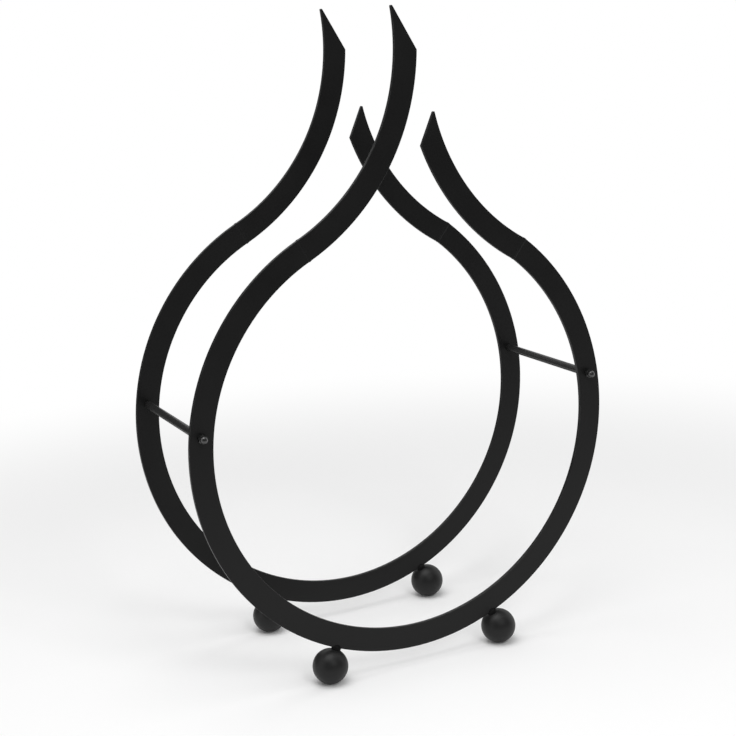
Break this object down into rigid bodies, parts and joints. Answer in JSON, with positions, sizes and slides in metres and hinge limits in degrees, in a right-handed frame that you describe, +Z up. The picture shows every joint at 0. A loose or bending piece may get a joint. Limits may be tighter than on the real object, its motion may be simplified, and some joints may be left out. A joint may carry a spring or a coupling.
{
  "type": "firewood rack",
  "caption": "Flame-shaped firewood rack of rolled flat-bar hoops on ball feet, held apart by cross rods with dome nuts, that cradles a stack of logs.",
  "frame": {"origin": "on the floor, midway between the two hoops and straight under the rings' centres", "axes": "+X to the right seen from the front, +Y from the front hoop to the back hoop, +Z up"},
  "size_m": [0.57, 0.245, 0.8231],
  "materials": {
    "satin_black_bar": "satin black powder coat on rolled steel flat bar",
    "satin_black_rod": "satin black powder coat on round steel bar",
    "black_dome_nut": "semi-gloss black on steel dome nuts",
    "satin_black_ball": "satin black powder coat on steel balls"
  },
  "bodies": {
    "root": {"back_left_ball_foot": "satin_black_ball", "back_left_dome_nut": "black_dome_nut", "back_left_foot_stub": "satin_black_bar", "back_right_ball_foot": "satin_black_ball", "back_right_dome_nut": "black_dome_nut", "back_right_foot_stub": "satin_black_bar", "back_ring": "satin_black_bar", "back_short_arm": "satin_black_bar", "back_short_weld": "satin_black_bar", "back_tall_arm": "satin_black_bar", "back_tall_weld": "satin_black_bar", "front_left_ball_foot": "satin_black_ball", "front_left_dome_nut": "black_dome_nut", "front_left_foot_stub": "satin_black_bar", "front_right_ball_foot": "satin_black_ball", "front_right_dome_nut": "black_dome_nut", "front_right_foot_stub": "satin_black_bar", "front_ring": "satin_black_bar", "front_short_arm": "satin_black_bar", "front_short_weld": "satin_black_bar", "front_tall_arm": "satin_black_bar", "front_tall_weld": "satin_black_bar", "left_cross_rod": "satin_black_rod", "right_cross_rod": "satin_black_rod"}
  },
  "joints": []
}
